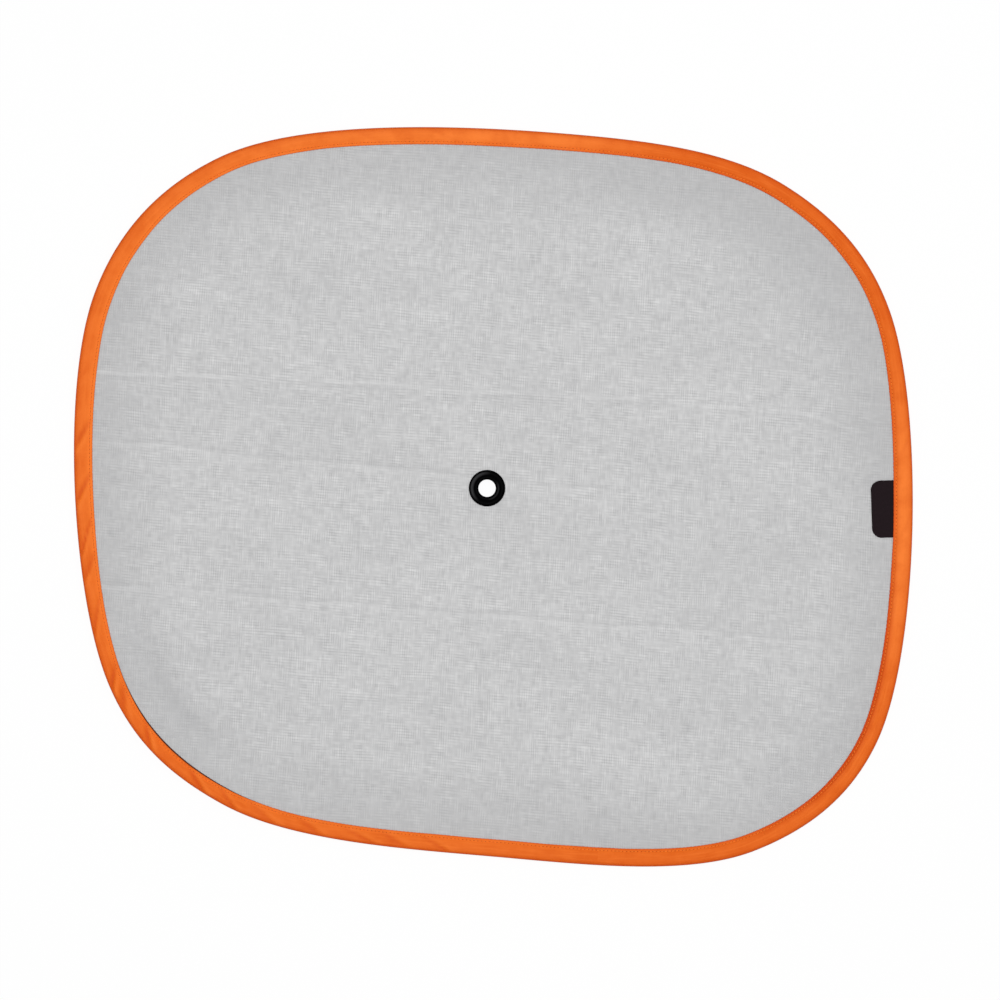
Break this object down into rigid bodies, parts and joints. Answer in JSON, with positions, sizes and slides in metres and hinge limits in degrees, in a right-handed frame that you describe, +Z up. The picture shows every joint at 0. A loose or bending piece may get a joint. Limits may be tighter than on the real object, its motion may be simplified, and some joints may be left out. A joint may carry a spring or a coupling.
{
  "type": "car side window sunshade",
  "caption": "Twist-fold car window sunshade: a sprung wire hoop in an orange cloth binding holds a grey mesh panel taut, with an eyelet for a suction cup.",
  "frame": {"origin": "on the surface the shade lies on, below the middle of its outline", "axes": "+X along the shade's length towards the label, +Y towards the upper edge in the picture, +Z up out of the room-side face"},
  "size_m": [0.44, 0.379, 0.0039],
  "materials": {
    "grey_mesh": "open-weave polyester mesh, light grey, matt",
    "orange_tape": "woven polyester binding tape, orange, slight satin sheen",
    "orange_thread": "spun polyester sewing thread, orange",
    "black_label": "woven label, near black, bare",
    "black_eyelet": "moulded black plastic, satin gloss",
    "spring_steel": "drawn spring-steel wire"
  },
  "bodies": {
    "root": {"mesh_panel": "grey_mesh", "edge_binding": "orange_tape", "hoop_wire": "spring_steel", "wire_joint_sleeve": "spring_steel", "seam_thread_front": "orange_thread", "seam_thread_back": "orange_thread", "side_label": "black_label", "eyelet_front": "black_eyelet", "eyelet_back_ring": "black_eyelet"}
  },
  "joints": []
}
